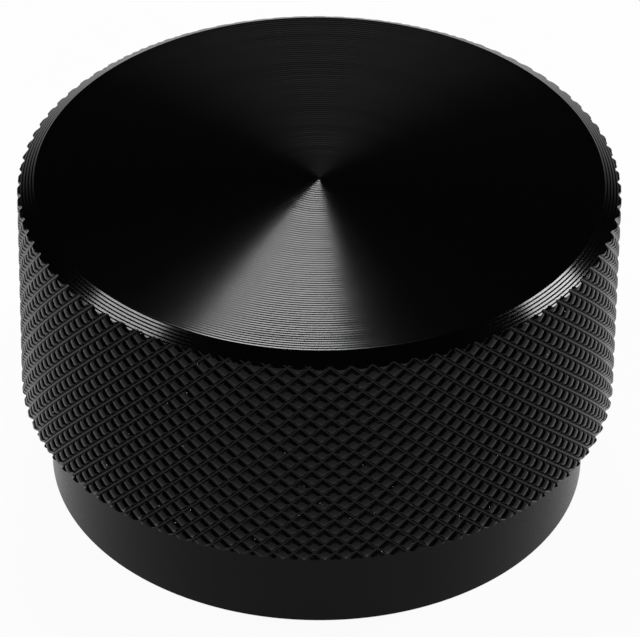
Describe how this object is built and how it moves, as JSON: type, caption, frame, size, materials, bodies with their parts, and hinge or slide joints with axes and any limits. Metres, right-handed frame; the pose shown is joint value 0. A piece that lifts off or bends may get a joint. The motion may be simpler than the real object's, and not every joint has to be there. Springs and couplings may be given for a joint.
{
  "type": "cabinet knob",
  "caption": "Round turned cabinet knob with a flat top, bevelled rim, diamond-knurled side and a smooth recessed foot.",
  "frame": {"origin": "centre of the foot's underside, the face that goes against the drawer front", "axes": "+Z along the knob's turning axis, from the foot to the flat top; +X and +Y any two directions across it"},
  "size_m": [0.05, 0.05, 0.0288],
  "materials": {
    "black_metal": "black anodised, satin, with fine turned lines on the top and bevel"
  },
  "bodies": {
    "root": {"knob": "black_metal"}
  },
  "joints": []
}
